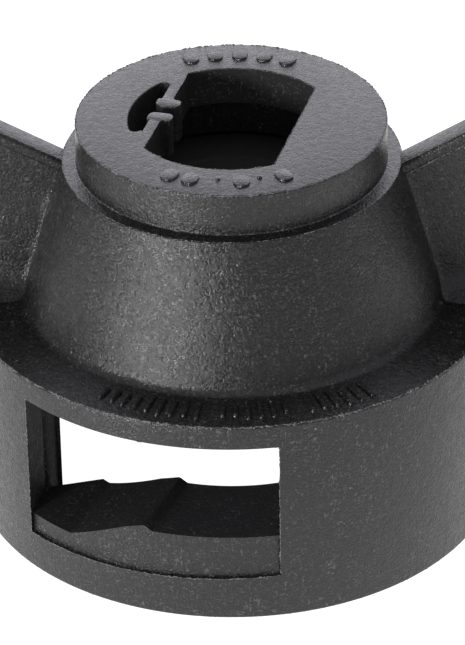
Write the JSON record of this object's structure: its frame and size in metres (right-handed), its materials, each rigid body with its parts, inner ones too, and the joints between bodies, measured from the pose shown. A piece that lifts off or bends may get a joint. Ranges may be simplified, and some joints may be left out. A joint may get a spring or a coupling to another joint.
{
  "type": "spray nozzle wing cap",
  "caption": "Conical quarter-turn cap with finger wings, side windows over its locking ramps, a keyed outlet with sprung fingers and a rubber seat gasket.",
  "frame": {"origin": "centre of the cap's open rim, on its axis, in the plane that the rim rests on", "axes": "+Z along the cap's axis, out of the outlet hole; X runs out through the two wings; -Y is the side with the nearer window"},
  "size_m": [0.0498, 0.034, 0.0288],
  "materials": {
    "cap_plastic": "satin charcoal moulded plastic with a fine speckle and a pale burr along its rims",
    "gasket_rubber": "matt black moulded rubber"
  },
  "bodies": {
    "cap": {"cap_body": "cap_plastic"},
    "front_finger": {"front_spring_finger": "cap_plastic"},
    "rear_finger": {"rear_spring_finger": "cap_plastic"},
    "gasket": {"seat_gasket": "gasket_rubber"}
  },
  "joints": [
    {"name": "front_finger_flex", "type": "hinge", "parent": "cap", "child": "front_finger", "pos_m": [-0.00513, -0.00155, 0.02465], "axis": [0, 0, 1], "range_deg": [0, 11], "stiffness_Nm_per_rad": 0.02},
    {"name": "rear_finger_flex", "type": "hinge", "parent": "cap", "child": "rear_finger", "pos_m": [-0.00344, 0.00432, 0.02465], "axis": [0, 0, -1], "range_deg": [0, 11], "stiffness_Nm_per_rad": 0.02},
    {"name": "gasket_removal", "type": "slide", "parent": "cap", "child": "gasket", "axis": [0, 0, -1], "range_m": [0, 0.022]}
  ]
}
